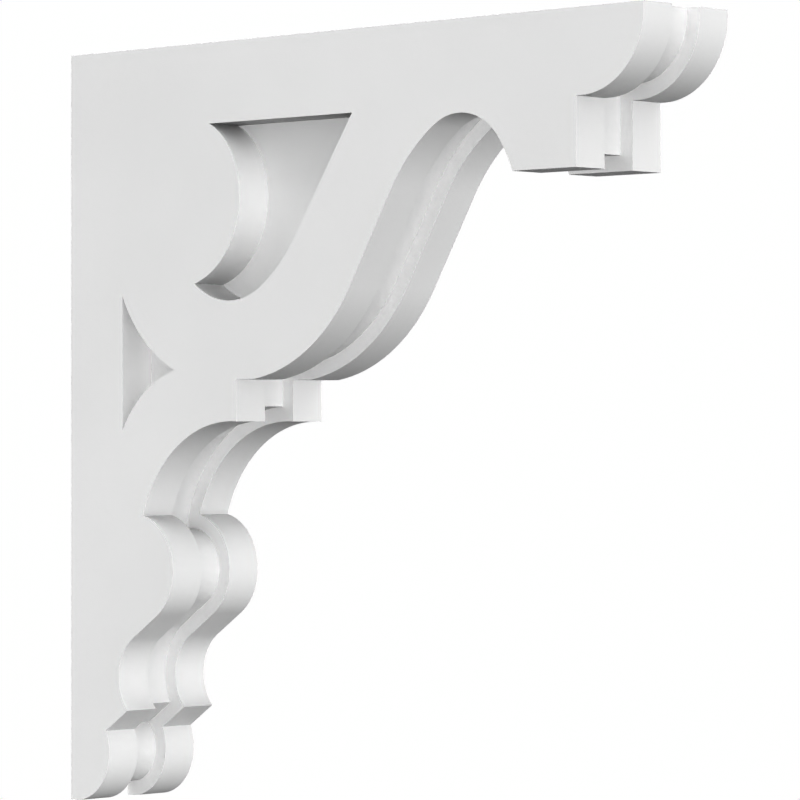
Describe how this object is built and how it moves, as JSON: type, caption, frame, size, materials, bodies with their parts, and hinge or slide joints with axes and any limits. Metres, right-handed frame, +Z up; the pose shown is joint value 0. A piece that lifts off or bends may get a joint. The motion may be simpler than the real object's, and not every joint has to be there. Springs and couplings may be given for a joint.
{
  "type": "corbel",
  "caption": "Scrolled wall bracket with a rounded nose, drop block, long sweep and stacked foot mouldings, for fixing to a wall under an eave, beam or shelf.",
  "frame": {"origin": "middle of the flat wall face, halfway across its width and halfway up its height", "axes": "+Z up, +Y into the wall, so the bracket reaches out from the wall towards -Y, and X across its width"},
  "size_m": [0.1016, 0.6697, 0.6604],
  "materials": {
    "side_plates": "smooth matt white paint on solid foamed plastic board",
    "centre_board": "smooth matt white paint on solid foamed plastic board"
  },
  "bodies": {
    "root": {"left_side_plate": "side_plates", "centre_board": "centre_board", "right_side_plate": "side_plates"}
  },
  "joints": []
}
